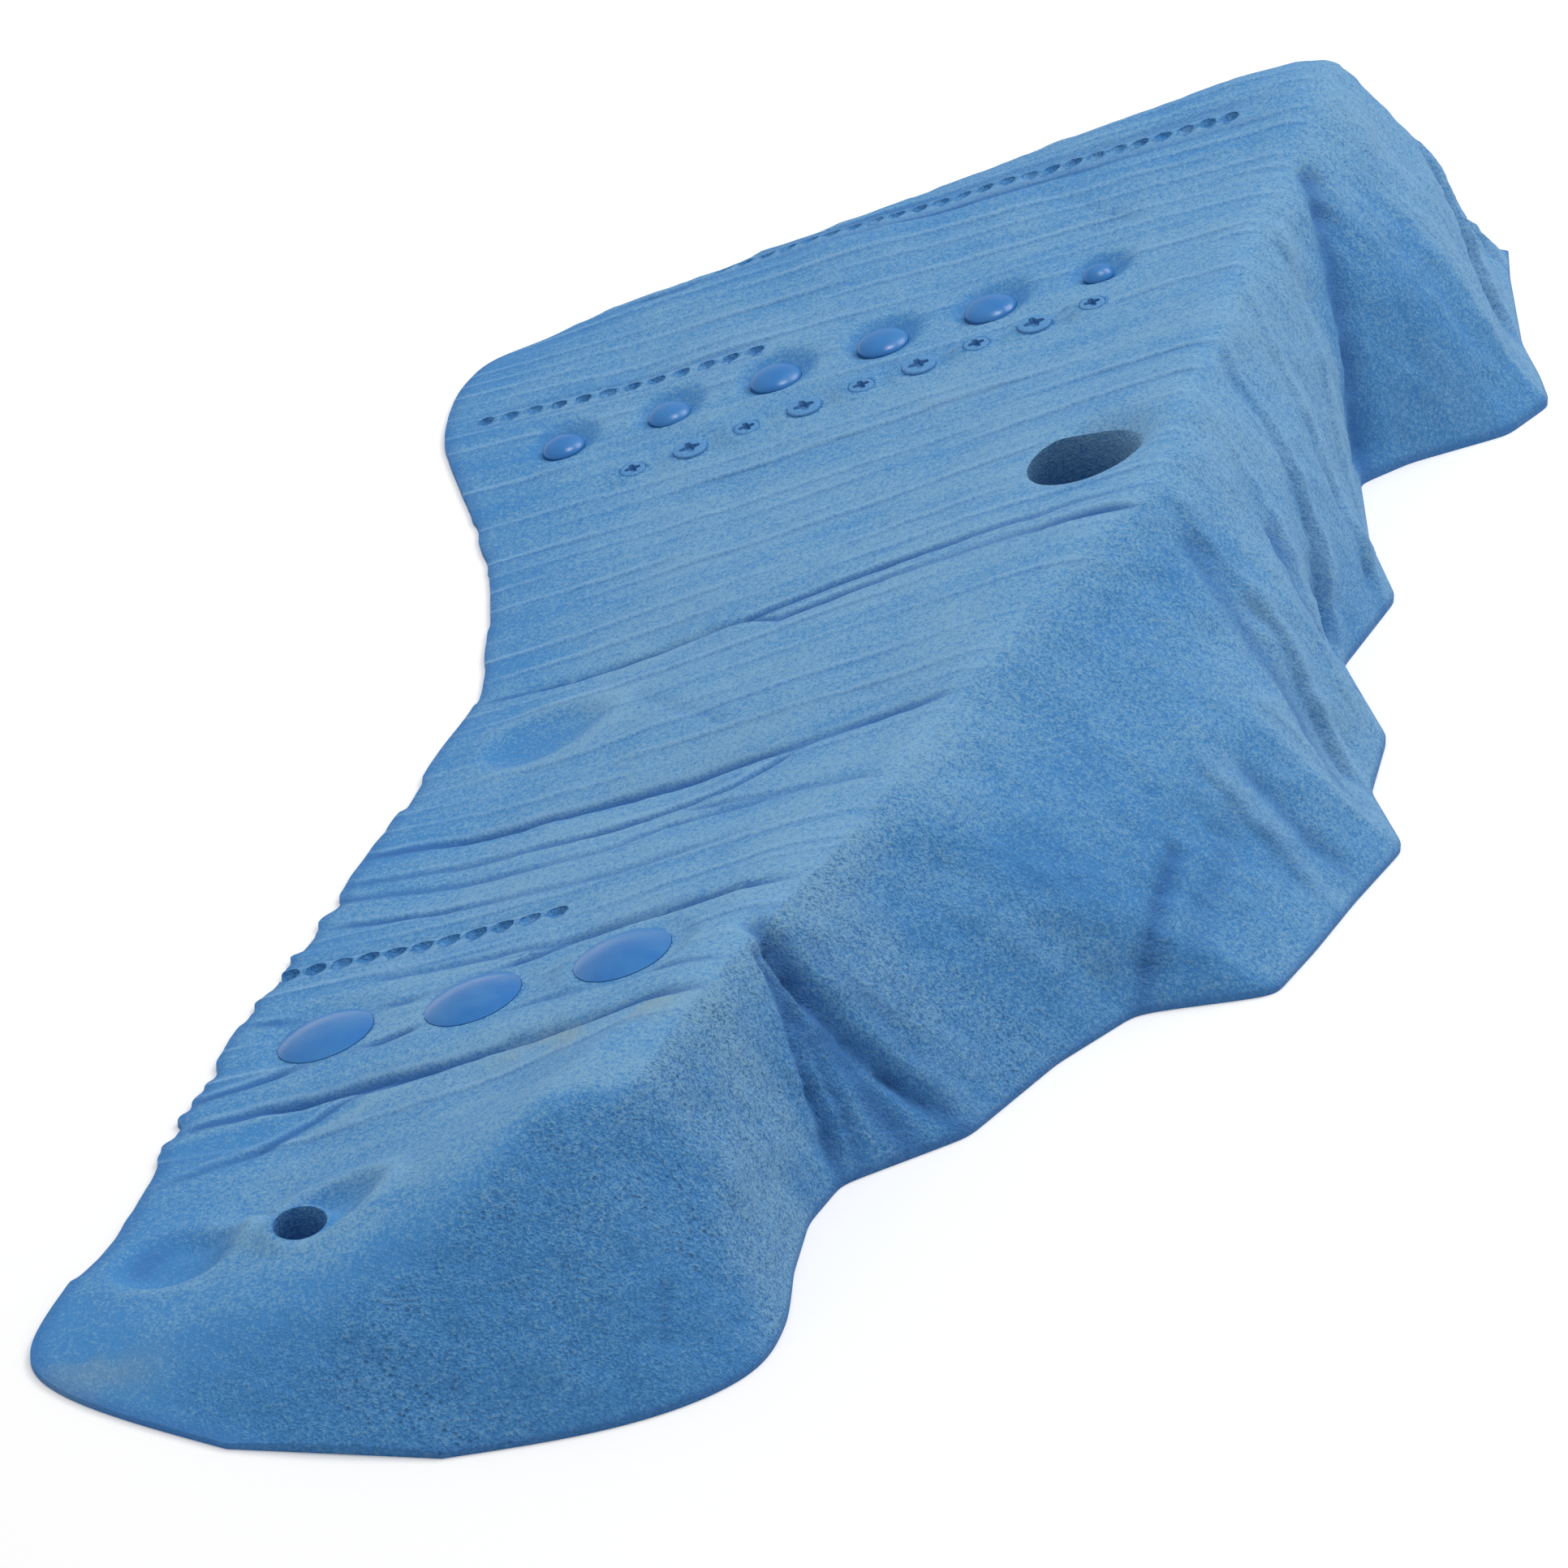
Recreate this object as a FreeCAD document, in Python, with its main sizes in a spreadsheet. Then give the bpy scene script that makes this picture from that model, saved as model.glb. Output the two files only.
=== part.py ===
import FreeCAD, Part
import math
import os

# One cast resin climbing hold with its washer, round studs and cross-slot studs.
# Millimetres. X runs along the bedding lines, up the gentle face; Y runs the long way,
# away from the low tip; Z points out of the climbing wall. The back face lies on Z = 0
# and the frame starts where the bolt hole meets the back face.

SIZES = [
    ("hold_length", 524.0),
    ("hold_width", 323.0),
    ("hold_height", 82.0),
    ("edge_lip", 1.5),
    ("back_allowance", 2.0),
    ("bolt_hole_radius", 5.5),
    ("bolt_recess_radius", 12.5),
    ("bolt_recess_floor", 36.0),
    ("bolt_flare_depth", 14.0),
    ("bolt_flare_radius", 24.0),
    ("washer_radius", 14.0),
    ("washer_thickness", 2.5),
    ("anchor_hole_radius", 2.75),
    ("anchor_recess_radius", 5.25),
    ("anchor_recess_floor", 8.0),
    ("anchor_dish_radius", 12.0),
    ("thumb_dish_radius", 16.0),
    ("toe_dish_radius", 12.5),
    ("dish_depth", 2.0),
    ("button_radius", 5.5),
    ("wide_button_radius", 6.6),
    ("end_button_radius", 4.0),
    ("button_rise", 2.4),
    ("button_rim", 1.0),
    ("button_spacing", 26.5),
    ("button_sink", 1.4),
    ("button_flare", 4.5),
    ("lens_radius", 11.0),
    ("lens_rise", 2.8),
    ("lens_rim", 0.8),
    ("lens_spacing", 32.5),
    ("lens_sink", 0.9),
    ("screw_head_radius", 4.3),
    ("small_screw_head_radius", 3.3),
    ("screw_head_height", 1.9),
    ("head_edge", 0.5),
    ("screw_spacing", 14.0),
    ("screw_sink", 1.2),
    ("slot_width", 1.3),
    ("slot_depth", 1.1),
    ("shank_radius", 1.6),
    ("stud_shank_radius", 3.0),
    ("shank_length", 7.0),
    ("seat_gap", 0.4),
    ("stud_tilt", 14.0),
    ("lens_tilt", 19.0),
    ("dimple_radius", 1.9),
    ("dimple_sink", 1.0),
]

# Cross sections of the casting at its drawn size, from the low tip to the tall end.
# Each row holds: distance along the hold, left edge, five top points (across, height),
# right edge. The middle of the hold is the zero of the first two measures.
DRAWN_LENGTH = 524.0
DRAWN_WIDTH = 323.0
DRAWN_HEIGHT = 82.0
BOLT_ACROSS = 66.0
BOLT_ALONG = 53.0
SECTIONS = [
    (-250, -92, [(-86, 1.8), (-78, 2.2), (-70, 2.2), (-64, 2.0), (-58, 1.8)], -52),
    (-243, -118, [(-104, 3.5), (-84, 6.5), (-62, 7.5), (-46, 6.5), (-34, 4)], -26),
    (-232, -139, [(-120, 4.5), (-92, 11), (-60, 15.5), (-30, 13.5), (-12, 7)], -5),
    (-218, -138, [(-116, 9), (-88, 18), (-56, 25), (-25, 24), (-4, 13)], 11),
    (-202, -134, [(-104, 10), (-76, 26), (-48, 34), (-20, 35), (0, 20)], 15),
    (-185, -129, [(-98, 6), (-70, 21), (-38, 43), (-16, 46), (2, 26)], 15),
    (-168, -125, [(-90, 9), (-52, 28), (-24, 46), (-9, 48), (6, 27)], 17),
    (-154, -123, [(-90, 10), (-45, 30), (-18, 45), (-4, 48), (9, 27)], 23),
    (-135, -118, [(-86, 12), (-40, 31), (-10, 46), (3, 48), (24, 26)], 49),
    (-107, -112, [(-80, 11), (-40, 26), (0, 43.5), (14, 47), (40, 26)], 67),
    (-87, -107, [(-75, 11), (-35, 26), (8, 44), (24, 48.5), (55, 27)], 84),
    (-78, -104, [(-73, 11), (-30, 28), (14, 45.5), (29, 49.5), (70, 25)], 114),
    (-60, -98, [(-68, 10), (-30, 25), (18, 44.5), (34, 51), (84, 28)], 123),
    (-40, -93, [(-65, 9), (-20, 25), (28, 47), (43, 53), (96, 33)], 132),
    (-18, -87, [(-60, 11), (-10, 32), (40, 52.5), (56, 58), (106, 36)], 143),
    (4, -82, [(-55, 11), (-5, 34), (54, 59), (70, 63.5), (112, 37)], 136),
    (28, -75, [(-40, 15), (5, 36), (68, 64), (86, 69), (116, 40)], 140),
    (60, -76, [(-40, 16), (5, 35), (76, 65.5), (92, 71), (116, 42)], 130),
    (92, -80, [(-40, 16), (5, 34), (80, 65), (98, 71.5), (121, 42)], 143),
    (118, -87, [(-45, 16), (0, 33), (86, 66), (103, 72.5), (122, 42)], 137),
    (148, -97, [(-50, 16), (0, 35), (92, 67), (109, 73), (126, 40)], 135),
    (160, -98, [(-50, 17), (0, 35), (94, 68), (112, 73.5), (132, 40)], 148),
    (176, -97, [(-50, 17), (0, 36), (98, 69), (117, 75), (146, 42)], 173),
    (192, -92, [(-50, 18), (0, 38), (102, 72), (120, 78), (152, 46)], 184),
    (205, -80, [(-48, 19), (0, 38), (104, 75), (122, 81), (153, 48)], 182),
    (222, -32, [(-18, 18), (10, 36), (100, 76), (122, 82), (153, 50)], 178),
    (240, 42, [(50, 16), (66, 46), (100, 68), (124, 76), (152, 50)], 177),
    (258, 98, [(104, 14), (114, 36), (130, 50), (144, 48), (161, 25)], 176),
    (274, 148, [(151, 2), (156, 2.5), (162, 2.5), (167, 2.3), (171, 2)], 176),
]

doc = FreeCAD.newDocument("ClimbingHold")
sheet = doc.addObject("Spreadsheet::Sheet", "Sizes")
for row, (name, value) in enumerate(SIZES, start=1):
    sheet.set("A%d" % row, name)
    sheet.set("B%d" % row, str(value))
    sheet.setAlias("B%d" % row, name)
doc.recompute()


def size(name):
    return float(getattr(sheet, name))


LENGTH_SCALE = size("hold_length") / DRAWN_LENGTH
WIDTH_SCALE = size("hold_width") / DRAWN_WIDTH
HEIGHT_SCALE = size("hold_height") / DRAWN_HEIGHT


def across(value):
    return (value - BOLT_ACROSS) * WIDTH_SCALE


def along(value):
    return (value - BOLT_ALONG) * LENGTH_SCALE


def section_points(section):
    """Section corner points in the frame: left edge, top points, right edge."""
    _, left, top, right = section
    lip = size("edge_lip")
    points = [(across(left), 0.0), (across(left), lip)]
    points += [(across(x), z * HEIGHT_SCALE) for x, z in top]
    points += [(across(right), lip), (across(right), 0.0)]
    return points


def surface_height(x, y):
    """Height of the top surface over a point of the back face."""
    for first, second in zip(SECTIONS, SECTIONS[1:]):
        start = along(first[0])
        end = along(second[0])
        if start <= y <= end:
            share = (y - start) / (end - start)
            pairs = zip(section_points(first), section_points(second))
            line = [
                (a[0] + (b[0] - a[0]) * share, a[1] + (b[1] - a[1]) * share)
                for a, b in pairs
            ][1:-1]
            for left, right in zip(line, line[1:]):
                if left[0] <= x <= right[0]:
                    step = (x - left[0]) / (right[0] - left[0])
                    return left[1] + (right[1] - left[1]) * step
    raise ValueError("point off the hold: %.1f %.1f" % (x, y))


def surface_point(x, y):
    return FreeCAD.Vector(x, y, surface_height(x, y))


def leaning(point, tilt, drop=0.0):
    """Placement whose own Z leans downhill by tilt degrees, sunk by drop along it."""
    turn = FreeCAD.Rotation(FreeCAD.Vector(0, 1, 0), -tilt)
    return FreeCAD.Placement(point - turn.multVec(FreeCAD.Vector(0, 0, drop)), turn)


def cylinder(name, radius, height, base=None):
    """Upright cylinder whose radius and height are expressions on the sheet."""
    item = doc.addObject("Part::Cylinder", name)
    item.setExpression("Radius", radius)
    item.setExpression("Height", height)
    if base:
        item.setExpression("Placement.Base.z", base)
    return item


def cap(name, radius, rise, base):
    """Spherical cap with its flat side at the height base."""
    item = doc.addObject("Part::Sphere", name)
    ball = "(%s * %s + %s * %s) / (2 * %s)" % (radius, radius, rise, rise, rise)
    item.setExpression("Radius", ball)
    item.setExpression("Angle1", "asin(1 - %s / (%s))" % (rise, ball))
    item.setExpression("Placement.Base.z", "%s + %s - (%s)" % (base, rise, ball))
    return item


def group(kind, name, items):
    joined = doc.addObject(kind, name)
    if kind == "Part::Compound":
        joined.Links = items
    else:
        joined.Shapes = items
    return joined


def cut(name, base, tool):
    result = doc.addObject("Part::Cut", name)
    result.Base = base
    result.Tool = tool
    return result


nodes = []


def keep(item, label):
    item.Label = label
    nodes.append(item)


# Positions of the round studs, lens studs and cross-slot studs on the face.
# Each row climbs the face from its left end; the rows lean a little up the hold.
BUTTON_START = (across(-65), along(135.5))
BUTTON_RISE_ALONG = 2.2
LENS_START = (across(-91), along(-119.5))
LENS_RISE_ALONG = -1.5
SCREW_START = (across(-45.5), along(115.5))
SCREW_RISE_ALONG = 1.9


def row(start, spacing, drift, count):
    step = size(spacing) * WIDTH_SCALE
    return [
        surface_point(start[0] + step * index, start[1] + drift * index)
        for index in range(count)
    ]


button_points = row(BUTTON_START, "button_spacing", BUTTON_RISE_ALONG, 6)
lens_points = row(LENS_START, "lens_spacing", LENS_RISE_ALONG, 3)
screw_points = row(SCREW_START, "screw_spacing", SCREW_RISE_ALONG, 9)

flares = []
seats = []
sockets = []


def seat_cutters(name, radius, sink, shank, tilt, point, flare=None):
    """Cutters for one inset: optional flare, flat seat and blind shank socket."""
    seat = cylinder(name + "_seat", "%s + Sizes.seat_gap" % radius, "8 mm")
    seat.Placement = leaning(point, tilt, size(sink))
    seats.append(seat)
    socket = cylinder(name + "_socket", shank, "Sizes.shank_length + 4")
    socket.Placement = leaning(point, tilt, size(sink) + size("shank_length"))
    sockets.append(socket)
    if flare:
        cone = doc.addObject("Part::Cone", name + "_flare")
        cone.setExpression("Radius1", "%s + Sizes.seat_gap" % radius)
        cone.setExpression("Radius2", "%s + Sizes.seat_gap + %s" % (radius, flare))
        cone.Height = 3.4
        cone.Placement = leaning(point, tilt, size(sink))
        flares.append(cone)


# Six round button studs in flared pits: three wide ones in the middle, a small one last.
BUTTON_SIZES = ["button", "button", "wide_button", "wide_button", "wide_button", "end_button"]
for number, (point, kind) in enumerate(zip(button_points, BUTTON_SIZES), start=1):
    name = "button_stud_%d" % number
    radius = "Sizes.%s_radius" % kind
    shank = cylinder(name + "_shank", "Sizes.stud_shank_radius",
                     "Sizes.shank_length + Sizes.button_rim / 2", "-Sizes.shank_length")
    rim = cylinder(name + "_rim", radius, "Sizes.button_rim")
    dome = cap(name + "_dome", radius, "Sizes.button_rise", "Sizes.button_rim")
    stud = group("Part::MultiFuse", name, [shank, rim, dome])
    stud.Placement = leaning(point, size("stud_tilt"), size("button_sink"))
    keep(stud, name)
    seat_cutters(name, radius, "button_sink", "Sizes.stud_shank_radius",
                 size("stud_tilt"), point, "Sizes.button_flare")

# Three wide lens studs set almost flush in the face.
for number, point in enumerate(lens_points, start=1):
    name = "lens_stud_%d" % number
    shank = cylinder(name + "_shank", "Sizes.stud_shank_radius",
                     "Sizes.shank_length / 2 + Sizes.lens_rim / 2", "-Sizes.shank_length / 2")
    rim = cylinder(name + "_rim", "Sizes.lens_radius", "Sizes.lens_rim")
    dome = cap(name + "_dome", "Sizes.lens_radius", "Sizes.lens_rise", "Sizes.lens_rim")
    stud = group("Part::MultiFuse", name, [shank, rim, dome])
    stud.Placement = leaning(point, size("lens_tilt"), size("lens_sink"))
    keep(stud, name)
    seat = cylinder(name + "_seat", "Sizes.lens_radius + Sizes.seat_gap / 2", "10 mm")
    seat.Placement = leaning(point, size("lens_tilt"), size("lens_sink"))
    seats.append(seat)
    socket = cylinder(name + "_socket", "Sizes.stud_shank_radius", "Sizes.shank_length")
    socket.Placement = leaning(point, size("lens_tilt"),
                               size("lens_sink") + size("shank_length") / 2)
    sockets.append(socket)

# Nine cross-slot studs, small and large by turns, each with a sloped head edge.
for number, point in enumerate(screw_points, start=1):
    name = "cross_screw_%d" % number
    small = number % 2 == 1
    radius = "Sizes.small_screw_head_radius" if small else "Sizes.screw_head_radius"
    head = cylinder(name + "_head", radius, "Sizes.screw_head_height - Sizes.head_edge")
    crown = doc.addObject("Part::Cone", name + "_crown")
    crown.setExpression("Radius1", radius)
    crown.setExpression("Radius2", "%s - Sizes.head_edge" % radius)
    crown.setExpression("Height", "Sizes.head_edge")
    crown.setExpression("Placement.Base.z", "Sizes.screw_head_height - Sizes.head_edge")
    shank = cylinder(name + "_shank", "Sizes.shank_radius",
                     "Sizes.shank_length + Sizes.screw_head_height / 3", "-Sizes.shank_length")
    whole = group("Part::MultiFuse", name + "_whole", [shank, head, crown])
    arms = []
    for arm, turn in enumerate((20, 110), start=1):
        box = doc.addObject("Part::Box", "%s_slot_%d" % (name, arm))
        box.setExpression("Length", "%s * 1.15" % radius)
        box.setExpression("Width", "Sizes.slot_width")
        box.setExpression("Height", "Sizes.slot_depth + 1")
        spin = FreeCAD.Rotation(FreeCAD.Vector(0, 0, 1), turn)
        half = FreeCAD.Vector(float(getattr(sheet, radius.split(".")[1])) * 0.575,
                              size("slot_width") / 2, 0)
        lift = FreeCAD.Vector(0, 0, size("screw_head_height") - size("slot_depth"))
        box.Placement = FreeCAD.Placement(lift - spin.multVec(half), spin)
        arms.append(box)
    cross = group("Part::MultiFuse", name + "_cross", arms)
    screw = cut(name, whole, cross)
    screw.Placement = leaning(point, size("stud_tilt"), size("screw_sink"))
    keep(screw, name)
    seat_cutters(name, radius, "screw_sink", "Sizes.shank_radius", size("stud_tilt"), point)

# Steel washer cast in under the bolt recess, its rim held below the recess floor.
washer_disc = cylinder("washer_disc", "Sizes.washer_radius", "Sizes.washer_thickness",
                       "Sizes.bolt_recess_floor - Sizes.washer_thickness")
washer_bore = cylinder("washer_bore", "Sizes.bolt_hole_radius", "Sizes.washer_thickness + 4",
                       "Sizes.bolt_recess_floor - Sizes.washer_thickness - 2")
washer = cut("bolt_washer", washer_disc, washer_bore)
keep(washer, "bolt_washer")

# The resin casting: a ruled loft through the sections. It is cast a little too thick
# behind, and the allowance is then cut away to leave one flat back face.
wires = []
for section in SECTIONS:
    corners = [
        FreeCAD.Vector(x, along(section[0]), z or -size("back_allowance"))
        for x, z in section_points(section)
    ]
    wires.append(Part.makePolygon(corners + corners[:1]))
blank = doc.addObject("Part::Feature", "casting_blank")
blank.Shape = Part.makeLoft(wires, True, True)

MARGIN = 40
excess = doc.addObject("Part::Box", "back_excess")
excess.setExpression("Length", "Sizes.hold_width + %d * 2" % MARGIN)
excess.setExpression("Width", "Sizes.hold_length + %d * 2" % MARGIN)
excess.setExpression("Height", "Sizes.back_allowance * 3")
excess.Placement.Base = FreeCAD.Vector(across(-DRAWN_WIDTH / 2) - MARGIN,
                                       along(-DRAWN_LENGTH / 2) - MARGIN,
                                       -3 * size("back_allowance"))

# Bolt hole, washer pocket, recess and the flare at its mouth, all on the frame axis.
bolt_face = surface_height(0, 0)
bolt_bore = cylinder("bolt_bore", "Sizes.bolt_hole_radius", "Sizes.hold_height", "-1 mm")
washer_pocket = cylinder("washer_pocket", "Sizes.washer_radius", "Sizes.washer_thickness",
                         "Sizes.bolt_recess_floor - Sizes.washer_thickness")
bolt_recess = cylinder("bolt_recess", "Sizes.bolt_recess_radius", "Sizes.hold_height",
                       "Sizes.bolt_recess_floor")
bolt_flare = doc.addObject("Part::Cone", "bolt_flare")
bolt_flare.setExpression("Radius1", "Sizes.bolt_recess_radius")
bolt_flare.setExpression("Radius2", "Sizes.bolt_flare_radius")
bolt_flare.setExpression("Height", "Sizes.bolt_flare_depth * 1.8")
bolt_flare.Placement.Base.z = bolt_face - size("bolt_flare_depth")

# Anchor screw hole near the tip: a pocket for the head, a clearance bore and a dish.
anchor_point = surface_point(across(-85), along(-200))
anchor_bore = cylinder("anchor_bore", "Sizes.anchor_hole_radius", "Sizes.hold_height")
anchor_bore.Placement.Base = FreeCAD.Vector(anchor_point.x, anchor_point.y, -1)
anchor_recess = cylinder("anchor_recess", "Sizes.anchor_recess_radius", "Sizes.hold_height")
anchor_recess.Placement.Base = FreeCAD.Vector(anchor_point.x, anchor_point.y,
                                              size("anchor_recess_floor"))


def dish(name, radius, point, tilt):
    """Ball that scoops a shallow round dish out of the face."""
    ball = doc.addObject("Part::Sphere", name)
    mouth = "(%s * %s / (2 * Sizes.dish_depth) + Sizes.dish_depth / 2)" % (radius, radius)
    ball.setExpression("Radius", mouth)
    reach = size(radius.split(".")[1]) ** 2 / (2 * size("dish_depth")) + size("dish_depth") / 2
    ball.Placement = leaning(point, tilt, size("dish_depth") - reach)
    return ball


anchor_dish = dish("anchor_dish", "Sizes.anchor_dish_radius",
                   surface_point(across(-79), along(-195)), 16)
thumb_dish = dish("thumb_dish", "Sizes.thumb_dish_radius",
                  surface_point(across(-56), along(-1)), 22)
toe_dish = dish("toe_dish", "Sizes.toe_dish_radius",
                surface_point(across(-114), along(-196)), 8)

# Three rows of small round dimples between the bedding lines.
dimples = []
for start, end, count in (
    ((-99, -85), (-43, -88.5), 11),
    ((-87, 156.5), (-18, 156), 12),
    ((-30, 205.5), (99, 205.5), 24),
):
    for index in range(count):
        share = index / (count - 1)
        point = surface_point(across(start[0] + (end[0] - start[0]) * share),
                              along(start[1] + (end[1] - start[1]) * share))
        ball = doc.addObject("Part::Sphere", "dimple_%d" % (len(dimples) + 1))
        ball.setExpression("Radius", "Sizes.dimple_radius")
        ball.Placement = leaning(point, 20, size("dimple_sink") - size("dimple_radius"))
        dimples.append(ball)

doc.recompute()
stages = [
    ("with_flat_back", excess),
    ("with_thumb_dish", thumb_dish),
    ("with_toe_dish", toe_dish),
    ("with_anchor_dish", anchor_dish),
    ("with_bolt_flare", bolt_flare),
    ("with_recesses", group("Part::Compound", "recesses", [bolt_recess, anchor_recess])),
    ("with_bores", group("Part::Compound", "bores", [bolt_bore, anchor_bore])),
    ("with_washer_pocket", washer_pocket),
    ("with_flares", group("Part::Compound", "stud_flares", flares)),
    ("with_seats", group("Part::Compound", "stud_seats", seats)),
    ("with_sockets", group("Part::Compound", "stud_sockets", sockets)),
    ("with_dimples", group("Part::Compound", "dimple_balls", dimples)),
]
body = blank
for name, tool in stages:
    body = cut(name, body, tool)
    doc.recompute()
keep(body, "hold_body")

doc.recompute()
for item in doc.Objects:
    state = list(item.State)
    if "Invalid" in state or "Error" in state:
        raise RuntimeError("object failed: " + item.Name)
for item in nodes:
    shape = item.Shape
    if shape.isNull() or not shape.isValid():
        raise RuntimeError("bad shape: " + item.Label)
    if len(shape.Solids) != 1:
        raise RuntimeError("%s has %d solids" % (item.Label, len(shape.Solids)))

os.makedirs("parts", exist_ok=True)
for item in nodes:
    item.Shape.exportStep("parts/%s.step" % item.Label)
    print("%-16s volume %.1f mm3" % (item.Label, item.Shape.Volume))
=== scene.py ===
import math

import bmesh
import bpy
import numpy as np
from mathutils import Matrix, Vector, noise
from mathutils.bvhtree import BVHTree


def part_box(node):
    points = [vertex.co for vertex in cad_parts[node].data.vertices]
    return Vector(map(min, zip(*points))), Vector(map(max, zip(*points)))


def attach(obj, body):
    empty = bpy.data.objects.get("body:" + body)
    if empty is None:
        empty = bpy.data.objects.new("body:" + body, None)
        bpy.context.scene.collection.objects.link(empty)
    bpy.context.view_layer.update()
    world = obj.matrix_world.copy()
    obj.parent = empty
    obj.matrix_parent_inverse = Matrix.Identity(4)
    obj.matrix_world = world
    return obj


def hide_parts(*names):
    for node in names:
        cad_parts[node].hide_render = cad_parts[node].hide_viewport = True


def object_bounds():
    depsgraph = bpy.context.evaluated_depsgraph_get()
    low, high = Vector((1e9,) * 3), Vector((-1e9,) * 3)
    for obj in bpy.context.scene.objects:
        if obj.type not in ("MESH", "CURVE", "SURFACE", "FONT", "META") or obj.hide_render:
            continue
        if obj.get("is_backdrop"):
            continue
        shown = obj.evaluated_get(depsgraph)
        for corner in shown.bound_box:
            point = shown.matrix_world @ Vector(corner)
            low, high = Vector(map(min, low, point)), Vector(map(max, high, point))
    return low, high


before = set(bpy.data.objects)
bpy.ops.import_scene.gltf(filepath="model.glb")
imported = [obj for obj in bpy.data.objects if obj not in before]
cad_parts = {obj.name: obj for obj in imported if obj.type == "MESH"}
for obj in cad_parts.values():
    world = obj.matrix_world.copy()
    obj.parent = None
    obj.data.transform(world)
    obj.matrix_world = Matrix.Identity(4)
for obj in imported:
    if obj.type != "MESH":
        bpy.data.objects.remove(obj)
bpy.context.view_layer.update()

# ---------------------------------------------------------------------------------------
# The casting. One block of polyurethane resin poured over a foam pattern: its walls carry
# the foam's open grain, and its gentle face was rubbed down and shows the bedding lines.
# Its back is flat, and a thin plain lip runs round it where the mould box closed.
# ---------------------------------------------------------------------------------------
MM = 0.001
PLUMB = 0.3              # metres, a height well above the casting
OUTSIDE = 10             # millimetres, a place well beside the casting
HAIR = 0.01              # millimetres, just inside an edge
ROWS = 600               # rows lie along the bedding, under a millimetre apart
COLUMNS = 145            # columns run the long way, evenly spaced over each row's slope
SAMPLES = 420            # places where the height is taken along each row
LIP = 1.5                # millimetres, as all lengths in the height work below
FACE_ROUNDING = 4.5      # rows over which the long ridges of the face are rounded
WALL_ROUNDING = 1.8      # rows over which the folds of the walls are rounded
TIP_ROUNDING = 7.0       # rows over which the outline of the tip is rounded
CREST_ROUNDING = 3.6     # columns over which the crest is rounded


def bare_surface(node):
    """Search tree over a merged copy of a CAD node."""
    shell = bmesh.new()
    shell.from_mesh(node.data)
    bmesh.ops.remove_doubles(shell, verts=shell.verts, dist=1e-6)
    tree = BVHTree.FromBMesh(shell)
    shell.free()
    return tree


def middle_of(node):
    low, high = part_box(node)
    return [(a + b) / 2 / MM for a, b in zip(low, high)]


BUTTON_NODES = ["button_stud_%d" % n for n in range(1, 7)]
LENS_NODES = ["lens_stud_%d" % n for n in range(1, 4)]
CROSS_NODES = ["cross_screw_%d" % n for n in range(1, 10)]

# Rows of dimples: first and last centre across and along the hold, how many, how large.
DIMPLE_ROWS = [
    ((-169.5, -141.5), (-109.5, -142.0), 11, 1.2),
    ((-153, 103.5), (-84, 103), 12, 1.0),
    ((-96, 152.5), (33, 152.5), 24, 1.0),
]
dimples = []
for first, last, count, size in DIMPLE_ROWS:
    for index in range(count):
        share = index / (count - 1)
        dimples.append([a + (b - a) * share for a, b in zip(first, last)] + [size])
DIMPLE_LINE = 3.0        # a fine line runs this far above and below each row

ANCHOR = (-151.0, -253.0)
ANCHOR_LEVEL = 19.2      # height of the casting at the anchor hole
ANCHOR_SLOPE = 0.14      # and how fast it climbs across the hold there

# The casting is drawn without its holes, studs and dishes first, so the heights inside
# these circles are bridged: place across and along the hold, and radius.
ANCHOR_DISH = (-148.0, -250.0, 20.0)
THUMB_DISH = (-122.0, -54.0, 18.0)
TOE_DISH = (-180.0, -249.0, 14.0)
BOLT_KEEP_OUT = 24.0
BUTTON_KEEP_OUT = 13.5
LENS_KEEP_OUT = 14.0
CROSS_KEEP_OUT = 6.0
DIMPLE_KEEP_OUT = 3.0

keep_out = [(0.0, 0.0, BOLT_KEEP_OUT), ANCHOR_DISH, THUMB_DISH, TOE_DISH]
keep_out += [(*middle_of(n)[:2], BUTTON_KEEP_OUT) for n in BUTTON_NODES]
keep_out += [(*middle_of(n)[:2], LENS_KEEP_OUT) for n in LENS_NODES]
keep_out += [(*middle_of(n)[:2], CROSS_KEEP_OUT) for n in CROSS_NODES]
keep_out += [(x, y, DIMPLE_KEEP_OUT) for x, y, _ in dimples]

# How each stud stands: its lean, and the length of shank under its rim.
STUD_TILT = 14
LENS_TILT = 19
LENS_NOD = 7             # the lenses were also bonded with their near edge a little high
BUTTON_SHANK = 7.0
LENS_SHANK = 3.5
CROSS_SHANK = 7.0


def stand_of(node, tilt, shank):
    """A leaning stud's place as a matrix, with the foot of its rim at zero, and its radius."""
    turn = Matrix.Rotation(math.radians(-tilt), 4, "Y")
    back = turn.inverted()
    points = np.array([back @ v.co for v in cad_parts[node].data.vertices])
    low, high = points.min(axis=0), points.max(axis=0)
    foot = Vector(((low[0] + high[0]) / 2, (low[1] + high[1]) / 2, low[2] + shank * MM))
    return turn @ Matrix.Translation(foot), (high[1] - low[1]) / 2 / MM


stands = {}
for name in BUTTON_NODES:
    stands[name] = stand_of(name, STUD_TILT, BUTTON_SHANK)
for name in LENS_NODES:
    stand, radius = stand_of(name, LENS_TILT, LENS_SHANK)
    stands[name] = stand @ Matrix.Rotation(math.radians(-LENS_NOD), 4, "X"), radius
for name in CROSS_NODES:
    stands[name] = stand_of(name, STUD_TILT, CROSS_SHANK)

cast_tree = bare_surface(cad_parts["hold_body"])
cast_low, cast_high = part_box("hold_body")
row_y = np.linspace(cast_low[1] / MM + 0.4, cast_high[1] / MM - 0.4, ROWS + 1)


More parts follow.
